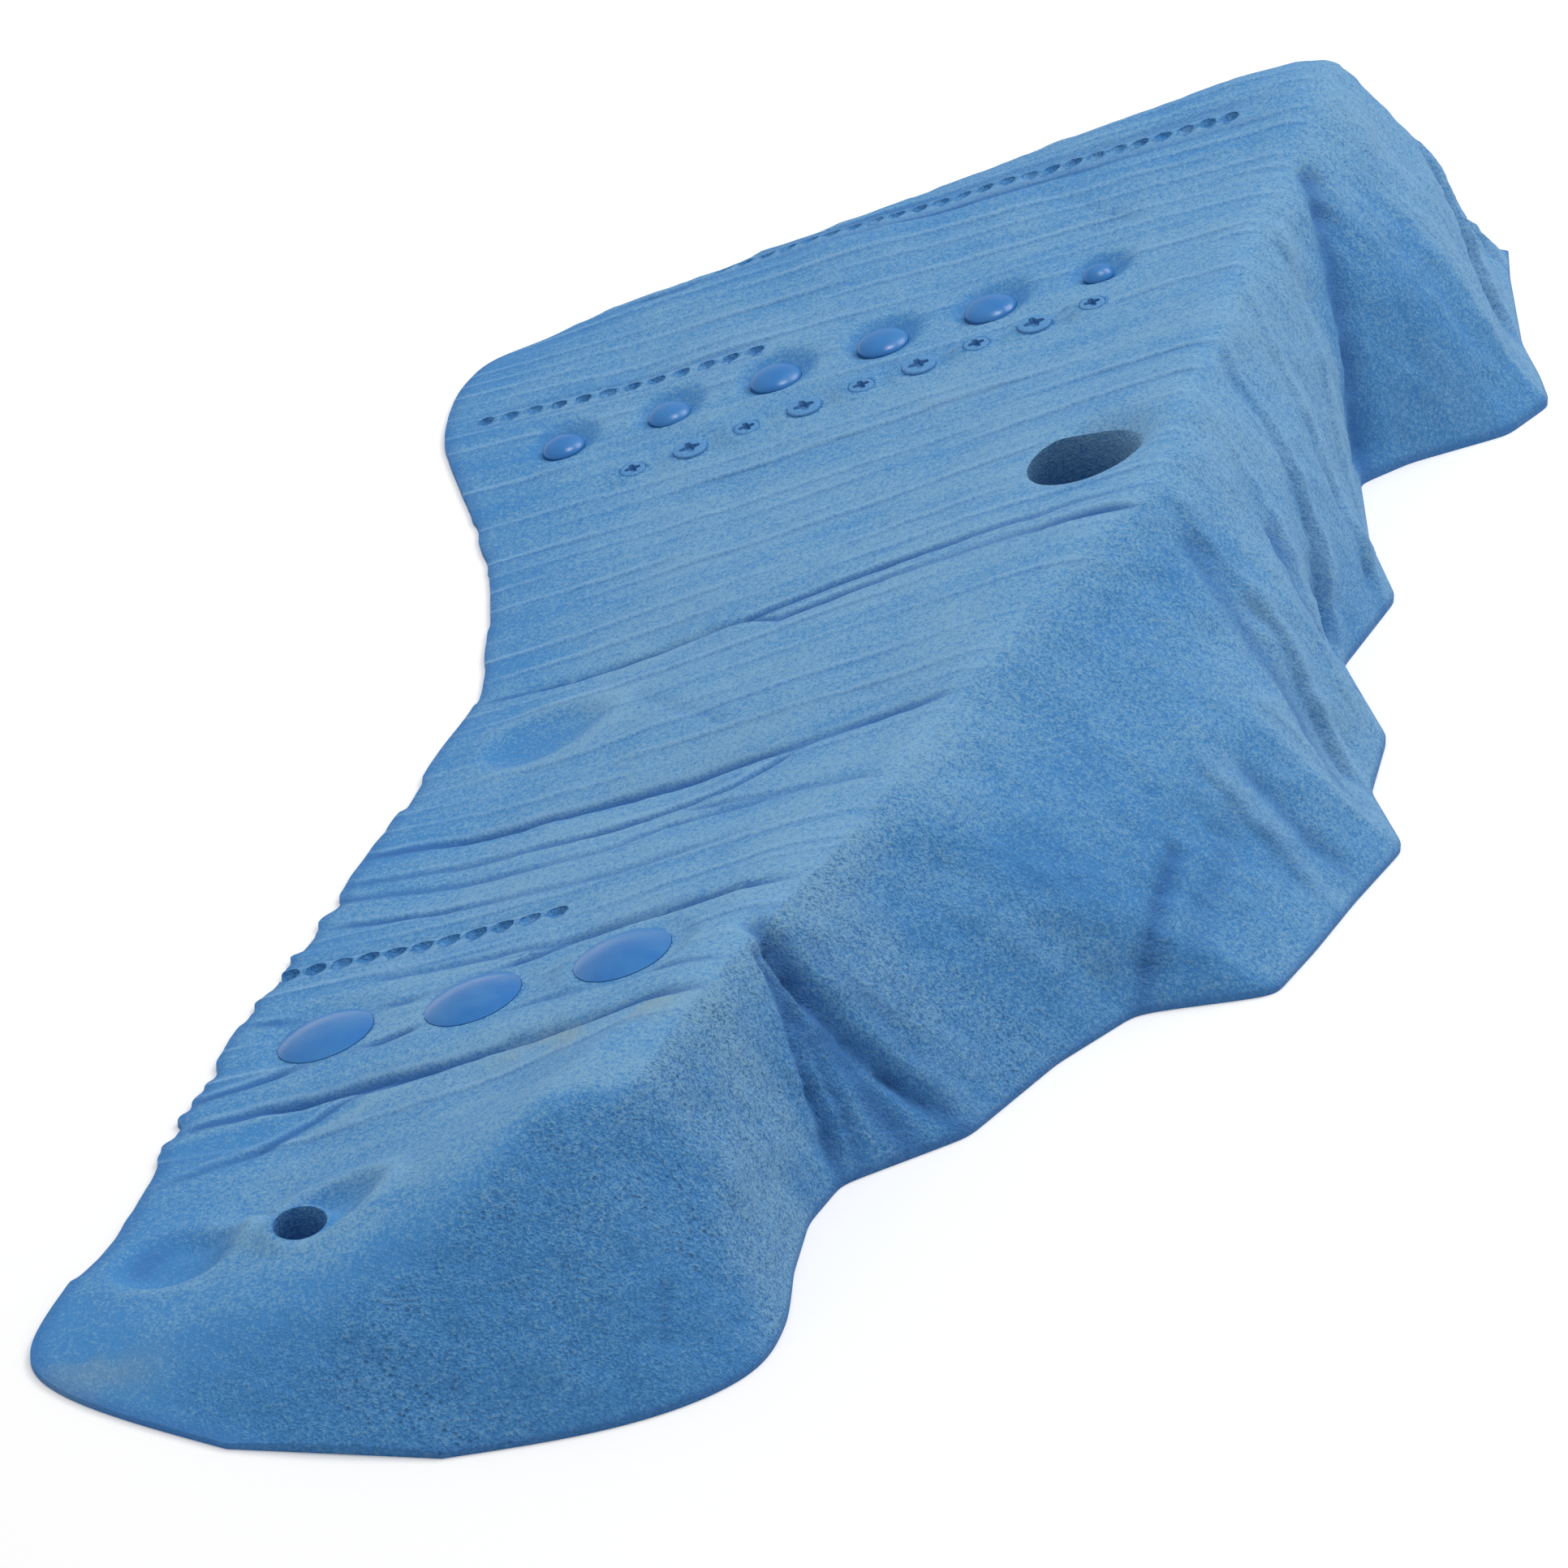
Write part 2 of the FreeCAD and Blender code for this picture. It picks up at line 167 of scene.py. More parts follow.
def edge_of_row(y, start, way):
    """Where the casting's lip starts on a row, coming from one side."""
    hit = cast_tree.ray_cast(Vector((start * MM, y * MM, LIP * MM / 2)), Vector((way, 0, 0)))
    return hit[0].x / MM


def height_at(x, y):
    """Height of the casting, or of its lip where it has run out."""
    hit = cast_tree.ray_cast(Vector((x * MM, y * MM, PLUMB)), Vector((0, 0, -1)))
    return hit[0].z / MM if hit[0] else LIP


grid_x = np.zeros((ROWS + 1, COLUMNS + 1))
grid_z = np.zeros((ROWS + 1, COLUMNS + 1))
for r, y in enumerate(row_y):
    left = edge_of_row(y, cast_low[0] / MM - OUTSIDE, 1)
    right = edge_of_row(y, cast_high[0] / MM + OUTSIDE, -1)
    xs = np.linspace(left + HAIR, right - HAIR, SAMPLES)
    clear = np.ones(SAMPLES, bool)
    for cx, cy, radius in keep_out:
        if abs(cy - y) < radius:
            clear &= np.hypot(xs - cx, y - cy) > radius
    clear[0] = clear[-1] = True
    known = xs[clear]
    heights = np.array([height_at(x, y) for x in known])
    zs = np.maximum(np.interp(xs, known, heights), LIP)
    zs[0] = zs[-1] = LIP
    length = np.concatenate([[0], np.cumsum(np.hypot(np.diff(xs), np.diff(zs)))])
    stations = np.linspace(0, length[-1], COLUMNS + 1)
    grid_x[r] = np.interp(stations, length, xs)
    grid_z[r] = np.interp(stations, length, zs)


def soften(values, sigma, axis):
    """Gaussian softening of a grid that leaves its outer edge where it is."""
    reach = int(sigma * 3) + 1
    steps = np.arange(-reach, reach + 1)
    weights = np.exp(-0.5 * (steps / sigma) ** 2)
    weights /= weights.sum()
    pads = [(0, 0), (0, 0)]
    pads[axis] = (reach, reach)
    padded = np.pad(values, pads, mode="reflect", reflect_type="odd")
    out = np.zeros_like(values)
    for step, weight in zip(steps, weights):
        start = step + reach
        part = [slice(None), slice(None)]
        part[axis] = slice(start, start + values.shape[axis])
        out += weight * padded[tuple(part)]
    return out


def rounded(values, sigma, axis):
    """Softening that rounds corners yet keeps most of their height."""
    soft = soften(values, sigma, axis)
    return soft + soften(values - soft, sigma, axis)


def smooth_step(value, low, high):
    """Rises gently from 0 at low to 1 at high."""
    t = np.clip((value - low) / (high - low), 0, 1)
    return t * t * (3 - 2 * t)


columns = np.arange(COLUMNS + 1)[None, :]
crest_column = soften(grid_z.argmax(axis=1)[:, None].astype(float), 6, 0)
wall_share = smooth_step(columns - crest_column, 0, 14)
tip_share = 1 - smooth_step(row_y[:, None], -262, -238)
for rounding, share in ((FACE_ROUNDING, 1 - wall_share), (WALL_ROUNDING, wall_share),
                        (TIP_ROUNDING, tip_share)):
    grid_x += share * (soften(grid_x, rounding, 0) - grid_x)
    grid_z += share * (soften(grid_z, rounding, 0) - grid_z)
grid_x, grid_z = [rounded(v, CREST_ROUNDING, 1) for v in (grid_x, grid_z)]
grid_y = np.repeat(row_y[:, None], COLUMNS + 1, axis=1)


def outward():
    """Unit normals of the grid, upwards."""
    points = np.stack([grid_x, grid_y, grid_z], axis=2)
    side = np.gradient(points, axis=1)
    up = np.gradient(points, axis=0)
    normals = np.cross(side, up)
    return normals / np.linalg.norm(normals, axis=2, keepdims=True)


def grain_field(size, seed, octaves=3, stretch=(1, 1, 1)):
    """Soft random field over the grid, from -1 to 1, with lumps about size millimetres."""
    out = np.empty(grid_x.shape)
    offset = Vector((seed * 17.3, seed * 9.1, seed * 5.7))
    for r in range(ROWS + 1):
        for c in range(COLUMNS + 1):
            spot = Vector((grid_x[r, c] / stretch[0], grid_y[r, c] / stretch[1],
                           grid_z[r, c] / stretch[2])) / size
            out[r, c] = noise.fractal(spot + offset, 0.8, 2.1, octaves)
    return out


normals = outward()
FACE_WAY = np.array([-0.38, 0.0, 0.925])      # the gentle face leans back by 22 degrees
facing = normals @ FACE_WAY
border = grain_field(14, 3, 4)
sanded = smooth_step(facing + 0.03 * border, 0.80, 0.97)
right_wall = smooth_step(normals[:, :, 0], 0.30, 0.70)
front_wall = smooth_step(-normals[:, :, 1] - 0.06 * border, 0.10, 0.48)
rise = smooth_step(grid_z, 2.0, 10.0)          # fades every relief out at the lip
bedded = np.maximum(sanded, 0.4 * right_wall * (1 - 0.9 * front_wall))
broad_form = grid_z - soften(soften(grid_z, 11, 0), 9, 1)

relief = np.zeros(grid_x.shape)                # along the normal, in millimetres
crest_and_light = np.zeros(grid_x.shape)                 # worn light edges, and painted light in the bolt recess
shade = np.zeros(grid_x.shape)                 # painted shade in hollows, grooves, creases, pits and along the lip

# Thin ledges: the bed behind each line stands a little proud of the bed before it. Each
# has its place along the hold, its drop, and how far it drifts from one side to the other.
LEDGES = [
    (-212, 0.5, -2), (-183, 0.5, 1), (-171, 0.6, -1), (-150, 0.5, 1), (-145.5, 0.4, 0),
    (-134.5, 0.4, 0), (-129, 0.3, -2), (-99, 0.3, 1), (-83, 0.4, -3), (-76, 0.5, -4),
    (-68, 0.4, 3), (-60, 0.5, -4), (-52, 0.5, 2), (-41, 0.6, 5), (-33, 0.4, 2),
    (-17, 0.5, 3), (-8, 0.6, 4), (0, 0.4, -2), (9, 0.6, 3), (15, 0.5, 1), (24, 0.6, 4),
    (31, 0.4, 2), (38, 0.6, 3), (47, 0.7, 5), (54, 0.4, 2), (72, 0.7, 6), (78, 0.4, 3),
    (91, 0.5, 4), (98, 0.5, 1), (107.5, 0.5, 1), (113, 0.4, 0), (119, 0.5, 2),
    (125, 0.6, 1), (131, 0.4, 0), (137, 0.5, 1), (143, 0.4, 0), (148.5, 0.5, 0),
    (156.5, 0.5, 0), (162, 0.4, 0), (168, 0.3, 0),
]
LEDGE_FACE = 0.5         # half width of the little step
LEDGE_CREST = 0.15       # how far the edge of a step stands up
LEDGE_REACH = 4.5        # how far in front of a step its bed sinks
LINE_REACH = 8.0         # a line's own distance is known this far to either side


class Nearest:
    """Signed distance to the nearest of many lines, and how strong that line is there."""

    def __init__(self):
        self.run = np.full(grid_x.shape, LINE_REACH)
        self.gain = np.zeros(grid_x.shape)

    def take(self, run, gain):
        nearer = np.abs(run) < np.abs(self.run)
        self.run = np.where(nearer, run, self.run)
        self.gain = np.where(nearer, gain, self.gain)

    def layers(self, name, reach):
        """The same, as two layers from 0 to 1; the line fades out before the next begins."""
        fade = np.exp(-(self.run / reach) ** 2)
        return {name + "_run": 0.5 + self.run / LINE_REACH / 2, name + "_gain": self.gain * fade}


edges, cuts = Nearest(), Nearest()

wander = grain_field(60, 11, 2)
wobble = grain_field(9, 12, 3)
patchy = grain_field(35, 13, 2, (2.5, 0.6, 1))
across_share = (grid_x + 140) / 190
for index, (line, drop, drift) in enumerate(LEDGES):
    run = grid_y - line - drift * across_share - 0.9 * wander - 0.15 * wobble
    strength = 0.55 + 0.45 * np.sin(index * 2.3 + grid_x / 31 + 3 * patchy)
    before = np.exp(np.minimum(run, 0) / LEDGE_REACH)
    step = smooth_step(run, -LEDGE_FACE, LEDGE_FACE)
    edge = np.exp(-((run - 0.7) / 0.65) ** 2)
    relief += (LEDGE_CREST * edge - drop * before * (1 - step)) * strength * bedded
    crest_and_light += 0.35 * strength * edge * bedded * min(drop * 1.8, 1)
    shade += 0.35 * strength * bedded * drop * np.exp(-((run + 1.2) / 1.2) ** 2)
    edges.take(run, strength * bedded * min(drop * 1.9, 1))

# Bedding grooves: points along each line, depth at the middle, and half width. Both are
# drawn a fifth larger than listed, so that the lines show.
GROOVE_SWELL = 1.2
FULL_SHADE_DEPTH = 1.2   # a groove this deep is in full shade
GROOVES = [
    ([(-187, -221), (-177, -217), (-166, -213), (-156, -207), (-146, -200.5), (-126, -200)],
     1.2, 1.1),
    ([(-184, -201), (-166, -198), (-142, -198), (-102, -201), (-70, -204)], 1.4, 1.2),
    ([(-184, -190), (-168, -186), (-153, -182), (-131, -180), (-102, -186), (-70, -193)],
     1.1, 1.0),
    ([(-175, -162), (-138, -166), (-127, -164), (-105, -157.5), (-87, -158), (-58, -160)],
     1.3, 1.1),
    ([(-150, -152), (-110, -156), (-80, -156)], 0.5, 0.9),
    ([(-163, -123.5), (-97, -132.5), (-72, -132)], 0.8, 1.0),
    ([(-166, -111), (-102, -119), (-88, -115), (-60, -118)], 0.9, 1.0),
    ([(-162, -105), (-103, -107), (-74, -103.5), (-57, -94)], 1.1, 1.1),
    ([(-158, -93), (-94, -92), (-57, -93), (-28, -92)], 1.5, 1.3),
    ([(-84, -109), (-62, -116), (-42, -122)], 0.8, 1.0),
    ([(-140, -27), (-100, -27.5), (-78, -26), (-43, -24.5), (14, -25)], 1.0, 0.9),
    ([(-78, -26), (-69, -33), (-42, -31.5), (14, -32)], 0.9, 0.9),
    ([(-120, 148), (-40, 148), (45, 148)], 0.5, 0.9),
    ([(-90, 158), (-20, 157.5), (45, 158)], 0.7, 1.0),
]


def distance_to(points):
    """Signed distance along the hold from a line of points, and a share that ends with it."""
    px = np.array([p[0] for p in points], float)
    py = np.array([p[1] for p in points], float)
    line = np.interp(grid_x, px, py)
    inside = smooth_step(grid_x, px[0] - 3, px[0] + 6) * (1 - smooth_step(
        grid_x, px[-1] - 14, px[-1] + 8))
    return grid_y - line, inside


for index, (points, depth, half_width) in enumerate(GROOVES):
    run, inside = distance_to(points)
    run = run - 0.7 * wander - 0.5 * wobble
    strength = (0.75 + 0.35 * np.sin(index * 1.7 + grid_x / 23 + 3 * patchy)) * inside
    half_width *= GROOVE_SWELL
    valley = np.exp(-(run / half_width) ** 2) + 0.35 * np.exp(-(run / (half_width * 2.6)) ** 2)
    relief -= GROOVE_SWELL * depth * strength * valley * np.maximum(sanded, 0.25)
    dark = np.exp(-(run / (half_width * 1.1)) ** 2)
    shade += 0.5 * strength * dark * depth / FULL_SHADE_DEPTH
    cuts.take(run, strength * min(1.15 * depth, 1.3) * np.maximum(sanded, 0.3))

# A fine groove with a worn edge runs along each side of a row of dimples.
for (ax, ay), (bx, by), _, _ in DIMPLE_ROWS:
    line = ay + (by - ay) * (grid_x - ax) / (bx - ax)
    along_row = smooth_step(grid_x, ax - 8, ax) * (1 - smooth_step(grid_x, bx, bx + 8))
    for side in (-1, 1):
        run = grid_y - line - side * DIMPLE_LINE - 0.25 * wobble
        relief -= 0.45 * np.exp(-(run / 0.9) ** 2) * along_row
        crest_and_light += 0.8 * np.exp(-((run + side * 0.9) / 0.6) ** 2) * along_row
        shade += 0.35 * np.exp(-(run / 0.8) ** 2) * along_row

# Creases and cracks run down the rough walls: points, depth, and half width.
CREASES = [
    ([(-64, -178), (-56, -185), (-51, -186), (-40, -188), (-28, -189), (-14, -188)], 5.2, 2.6),
    ([(-56, -183), (-46, -191), (-36, -195), (-24, -197)], 3.0, 4.0),
    ([(-61, -187), (-53, -195), (-50, -200), (-46, -204), (-42, -209)], 4.2, 2.4),
    ([(-56, -189), (-46, -197), (-40, -203), (-36, -208)], 2.4, 1.8),
    ([(-50, -178), (-40, -180), (-28, -181)], 1.2, 3.0),
    ([(25, -112), (22, -125), (20, -136), (18, -142)], 3.0, 2.6),
    ([(38, -100), (33, -118), (30, -132)], 1.2, 4.0),
    ([(54, 124), (60, 111), (65, 103), (68, 99), (73, 94)], 4.0, 4.0),
    ([(48, -4), (54, -12), (60, -12), (70, -9)], 2.6, 3.6),
    ([(28, -34), (44, -47), (56, -52), (66, -62)], 1.8, 4.5),
    ([(41, -84), (53, -87), (64, -88)], 1.8, 3.0),
    ([(-75, -267), (-74, -276)], 1.2, 1.2),
    ([(-15, 145), (-4, 133), (10, 117)], 0.5, 1.2),
    ([(-101, -48), (-92, -60), (-79, -74)], 0.6, 1.4),
]


def reach_from(points):
    """Distance over the plan from a bent line."""
    best = np.full(grid_x.shape, 1e9)
    for (ax, ay), (bx, by) in zip(points, points[1:]):
        dx, dy = bx - ax, by - ay
        share = ((grid_x - ax) * dx + (grid_y - ay) * dy) / (dx * dx + dy * dy)
        share = np.clip(share, 0, 1)
        best = np.minimum(best, np.hypot(grid_x - ax - share * dx, grid_y - ay - share * dy))
    return best


for points, depth, half_width in CREASES:
    gap = reach_from(points)
    notch = np.exp(-(gap / half_width) ** 2)
    relief -= depth * notch * (0.8 + 0.3 * wobble)
    shade += 1.1 * np.exp(-(gap / (half_width * 0.7)) ** 2) * min(depth / 3, 1)

# Folds of the right-hand walls. Each leaf steps out past the one before it, most at the
# foot: place along the hold at the foot, depth, length of the leaf, and lean with height.
FOLDS = [
    (209, 3.4, 26, 0.5), (167, 3.8, 24, 0.5), (62, 1.6, 16, 0.5), (31, 2.6, 12, 0.5),
    (5, 3.6, 17, 0.5), (-18, 1.4, 10, 0.4), (-52, 3.0, 16, 0.4), (-101, 1.8, 12, 0.3),
]
wall_foot = right_wall * (1 - 0.5 * smooth_step(grid_z, 20, 60))
for line, depth, leaf, lean in FOLDS:
    run = grid_y - line - lean * grid_z - 1.2 * wander - 0.8 * wobble
    before = np.exp(np.minimum(run, 0) / leaf)
    step = smooth_step(run, -1.2, 1.2)
    relief -= depth * before * (1 - step) * wall_foot
    shade += 0.45 * np.exp(-((run + 1.6) / 1.6) ** 2) * wall_foot * depth / 3.5
    crest_and_light += 0.5 * np.exp(-((run - 2.5) / 2.2) ** 2) * wall_foot

# Rough walls: broad lumps, and flutes that run down the right-hand walls.
lumps = grain_field(26, 21, 3)
knobs = grain_field(7, 22, 4)
flutes = grain_field(11, 23, 3, (6, 1, 3))
rough = 1 - sanded
relief += rough * (1.1 * lumps + 0.6 * knobs)
relief += rough * right_wall * 0.8 * flutes
relief += sanded * (0.5 * lumps + 0.12 * knobs)
crest_and_light += 0.2 * rough * right_wall * smooth_step(flutes, 0.15, 0.5)

# Rubbed resin goes chalky on the face, the crest and the right-hand walls. The walls that
# look down the slope, the low left edge and the hollows keep their first deep blue.
from_left = grid_x - grid_x[:, :1]
chalk_and_light = 0.93 - 0.88 * front_wall
chalk_and_light *= 0.42 + 0.58 * smooth_step(from_left + 12 * wander, 8, 48)
chalk_and_light += (0.03 + 0.10 * front_wall) * np.clip(broad_form, -3, 4) + 0.16 * lumps
chalk_and_light -= 0.14 * smooth_step(grid_y, 50, 110) * sanded
bed_tone = grain_field(10, 41, 2, (9, 1, 9))
chalk_and_light -= 0.30 * smooth_step(bed_tone, 0.05, 0.35) * sanded
chalk_and_light -= 0.25 * smooth_step(grid_y, 118, 140) * sanded
chalk_and_light -= 0.30 * smooth_step(-grid_y, 215, 250)
chalk_and_light -= 0.22 * np.exp(-np.hypot(grid_x - 34, grid_y + 2) / 26)

# Smooth dishes: a thumb dish, a toe dish, the hollow round the anchor hole and a shallow
# trough above it. Each has its middle, half lengths, depth, and turn in degrees.
DISHES = [
    (-122, -54, 17, 12, 2.4, 18), (-178, -250, 15, 13, 4.4, 10), (-147, -246, 14, 12, 4.4, 35),
    (-166, -207, 26, 5.5, 0.4, 8),
]
for cx, cy, half_long, half_wide, depth, turn in DISHES:
    c, s = math.cos(math.radians(turn)), math.sin(math.radians(turn))
    u = ((grid_x - cx) * c + (grid_y - cy) * s) / half_long
    v = (-(grid_x - cx) * s + (grid_y - cy) * c) / half_wide
    bowl = np.clip(1 - u * u - v * v, 0, 1)
    grid_z -= depth * bowl * bowl * (3 - 2 * bowl)
    chalk_and_light -= 0.6 * smooth_step(bowl, 0, 0.7)
    relief *= 1 - 0.8 * smooth_step(bowl, 0, 0.5)
    edges.gain *= 1 - smooth_step(bowl, 0, 0.5)
    rim = np.exp(-((np.hypot(u, v) - 1.08) / 0.22) ** 2) * rise
    grid_z += 0.22 * depth * rim
    chalk_and_light += 0.4 * rim

# The casting is levelled round the anchor hole.
level = ANCHOR_LEVEL + ANCHOR_SLOPE * (grid_x - ANCHOR[0])
share = 1 - smooth_step(np.hypot(grid_x - ANCHOR[0], grid_y - ANCHOR[1]), 5.8, 10)
grid_z += share * (level - grid_z)

# Shallow pits round the button studs, wider on the side away from the tip.
PIT_SHIFT = (0.2, 3.0)
PIT_REACH = 4.8          # how far a pit spreads past its stud
PIT_DEPTH = 2.2
for name in BUTTON_NODES:
    cx, cy, _ = middle_of(name)
    low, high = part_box(name)
    radius = (high[1] - low[1]) / 2 / MM
    gap = np.hypot(grid_x - cx - PIT_SHIFT[0], grid_y - cy - PIT_SHIFT[1])
    bowl = np.clip(1 - (gap / (radius + PIT_REACH)) ** 2, 0, 1)
    grid_z -= PIT_DEPTH * bowl * bowl * (3 - 2 * bowl)
    chalk_and_light -= 0.75 * smooth_step(bowl, 0, 0.6)
    shade += 0.38 * smooth_step(bowl, 0.15, 0.8)
    relief *= 1 - 0.8 * smooth_step(bowl, 0, 0.4)
    edges.gain *= 1 - smooth_step(bowl, 0, 0.3)

# The face dips a little into the mouth of the bolt recess, most of all uphill.
RECESS_RADIUS = 12.5
gap = np.hypot(grid_x, grid_y)
uphill = smooth_step((grid_x * 0.75 + grid_y * 0.66) / np.maximum(gap, 1), 0.1, 0.9)
dip = np.clip(1 - (gap - RECESS_RADIUS) / (3 + 6 * uphill), 0, 1)
grid_z -= (0.5 + 2.3 * uphill) * dip * dip
relief *= 1 - smooth_step(dip, 0.0, 0.5)
edges.gain *= 1 - smooth_step(dip, 0.0, 0.5)
chalk_and_light += 0.12 * smooth_step(dip, 0.1, 0.6)

# Round each lens stud and cross-slot stud the casting comes up level with the head's edge.
LENS_LEVEL = 0.35
CROSS_LEVEL = 1.6
LARGE_CROSS_DROP = 0.5   # the large ones stand a little prouder
for names, level, reach in ((LENS_NODES, LENS_LEVEL, 6.0), (CROSS_NODES, CROSS_LEVEL, 4.5)):
    for name in names:
        stand, radius = stands[name]
        height = level - (LARGE_CROSS_DROP if 4 < radius < 5 else 0)
        spot = stand @ Vector((0, 0, height * MM)) / MM
        lean = stand.to_3x3() @ Vector((0, 0, 1))
        gap = np.hypot(grid_x - spot.x, grid_y - spot.y)
        share = 1 - smooth_step(gap, radius + 0.6, radius + reach)
        plane = spot.z - (lean.x * (grid_x - spot.x) + lean.y * (grid_y - spot.y)) / lean.z
        grid_z += share * (plane - grid_z)
        relief *= 1 - share
        edges.gain *= 1 - share
        cuts.gain *= 1 - share

# Hand stains: place across and along the hold, half widths, and strength.
STAINS = [(-188, -285, 12, 6, 0.45), (-101, -207, 15, 7, 0.7), (-84, -208, 8, 6, 0.5),
          (10, 2, 7, 9, 0.4)]
stain = np.zeros(grid_x.shape)
for cx, cy, half_x, half_y, strength in STAINS:
    stain += strength * np.exp(-(((grid_x - cx) / half_x) ** 2 + ((grid_y - cy) / half_y) ** 2))
stain *= smooth_step(lumps + border, -0.4, 0.6)

relief *= rise
grid_x += relief * normals[:, :, 0]
grid_y += relief * normals[:, :, 1]
grid_z = np.maximum(grid_z + relief * normals[:, :, 2], LIP)

# The feather edge is scalloped where each bed runs out on the left.
scallop = grain_field(19, 31, 3, (8, 1, 8))
bite = smooth_step(scallop, -0.12, 0.18) + 0.4 * scallop
ends = np.exp(-(grid_x - grid_x[:, :1]) / 7.0)
bite_depth = 1.9 - 1.3 * smooth_step(grid_y, -110, -40)
grid_x += (bite_depth * bite + 0.2) * ends * smooth_step(grid_y, -262, -240)

# The height work is turned into a mesh: a flat grid takes the shape, its rim drops to the
# back, and one face closes the back.
INSIDE = 1e-5            # metres, kept clear of the CAD box
shell = bmesh.new()
bmesh.ops.create_grid(shell, x_segments=COLUMNS, y_segments=ROWS, size=0.5)
# Painted shade darkens the lip along the foot of the casting.
shade += 0.8 * (1 - smooth_step(grid_z, LIP, LIP + 1.2))
# The grain is most open on the walls of the tip and finer on those behind, and one small
# patch of the face was left rough.
closed = np.maximum(sanded, 0.58 * smooth_step(grid_y, -170, -110))
closed -= 0.7 * np.exp(-np.hypot(grid_x - 4, grid_y - 122) / 7)
marks = {"sanded": closed, "crest_and_light": crest_and_light, "shade": shade, "chalk_and_light": 0.12 + 0.62 * chalk_and_light,
         "stain": stain, **edges.layers("edge", 2.2), **cuts.layers("cut", 3.5)}
layers = {name: shell.verts.layers.float.new(name) for name in marks}
for vert in shell.verts:
    c = round((vert.co.x + 0.5) * COLUMNS)
    r = round((vert.co.y + 0.5) * ROWS)
    x = min(max(grid_x[r, c] * MM, cast_low[0] + INSIDE), cast_high[0] - INSIDE)
    y = min(max(grid_y[r, c] * MM, cast_low[1] + INSIDE), cast_high[1] - INSIDE)
    z = min(grid_z[r, c] * MM, cast_high[2])
    vert.co = (x, y, z)
    for name, values in marks.items():
        vert[layers[name]] = min(max(values[r, c], 0.0), 1.0)

rim = [edge for edge in shell.edges if edge.is_boundary]
dropped = bmesh.ops.extrude_edge_only(shell, edges=rim)["geom"]
for vert in (item for item in dropped if isinstance(item, bmesh.types.BMVert)):
    vert.co.z = 0
open_edges = [edge for edge in shell.edges if edge.is_boundary]
back = bmesh.ops.contextual_create(shell, geom=open_edges)["faces"]
bmesh.ops.triangulate(shell, faces=back, ngon_method="EAR_CLIP")
bmesh.ops.recalc_face_normals(shell, faces=shell.faces)


SHARP_ANGLE = math.radians(40)


def finished(name, mesh_in_progress):
    """Turns a bmesh into an object at the origin, smooth but for its sharp edges."""
    mesh = bpy.data.meshes.new(name)
    mesh_in_progress.to_mesh(mesh)
    mesh_in_progress.free()
    mesh.shade_smooth()
    mesh.set_sharp_from_angle(angle=SHARP_ANGLE)
    item = bpy.data.objects.new(name, mesh)
    bpy.context.scene.collection.objects.link(item)
    return item


casting = finished("casting", shell)


def turned_profile(points, segments):
    """Closed solid of revolution about Z from (radius, height) points in millimetres."""
    solid = bmesh.new()
    line = [solid.verts.new((radius * MM, 0, height * MM)) for radius, height in points]
    for a, b in zip(line, line[1:]):
        solid.edges.new((a, b))
    bmesh.ops.spin(solid, geom=solid.verts[:] + solid.edges[:], cent=(0, 0, 0),
                   axis=(0, 0, 1), angle=math.tau, steps=segments, use_merge=True)
    bmesh.ops.remove_doubles(solid, verts=solid.verts, dist=1e-7)
    bmesh.ops.recalc_face_normals(solid, faces=solid.faces)
    return solid


def placed(solid, into, matrix):
    """Copies one bmesh into another, moved by a matrix."""
    mesh = bpy.data.meshes.new("cutter_part")
    solid.to_mesh(mesh)
    mesh.transform(matrix)
    into.from_mesh(mesh)
    bpy.data.meshes.remove(mesh)


def carve(target, tools):
    """Cuts a bmesh of tools out of an object for good."""
    tool = finished("carving_tool", tools)
    cut = target.modifiers.new("carve", "BOOLEAN")
    cut.operation = "DIFFERENCE"
    cut.solver = "EXACT"
    cut.object = tool
    graph = bpy.context.evaluated_depsgraph_get()
    carved = bpy.data.meshes.new_from_object(target.evaluated_get(graph))
    carved.set_sharp_from_angle(angle=SHARP_ANGLE)
    target.modifiers.clear()
    target.data = carved
    bpy.data.objects.remove(tool)


# Bolt bore, washer pocket and recess; anchor bore and its head pocket. Both open out
# towards their mouths.
RECESS = [(0, -2), (5.5, -2), (5.5, 33.5), (14, 33.5), (14, 36), (RECESS_RADIUS, 36),
          (RECESS_RADIUS, 44), (12.6, 52), (12.8, 58), (13.1, 61), (13.6, 63.5), (14.4, 66),
          (16.5, 68.5), (20, 71), (26, 74), (40, 90), (0, 90)]
ANCHOR_RECESS = [(0, -2), (2.75, -2), (2.75, 10), (5.2, 10), (5.25, 15), (5.4, 18), (5.9, 20.5),
                 (8.5, 24), (12, 30), (0, 40)]
tools = turned_profile(RECESS, 72)
anchor_tool = turned_profile(ANCHOR_RECESS, 40)
placed(anchor_tool, tools, Matrix.Translation((ANCHOR[0] * MM, ANCHOR[1] * MM, 0)))
anchor_tool.free()

# Flat seats and blind sockets for the studs.
SEAT_GAP = 0.08
SOCKET_SLACK = 0.04
SEAT_CLEARANCE = 9       # the seat tool reaches this far above the foot of the rim
WIDE_SHANK_RADIUS = 3.0  # buttons and lenses
CROSS_SHANK_RADIUS = 1.6


def seat_tool(radius, shank_radius, shank):
    shank_radius += SOCKET_SLACK
    seat = radius + SEAT_GAP
    return turned_profile([(0, -shank), (shank_radius, -shank), (shank_radius, 0), (seat, 0),
                           (seat, SEAT_CLEARANCE), (0, SEAT_CLEARANCE)], 48)


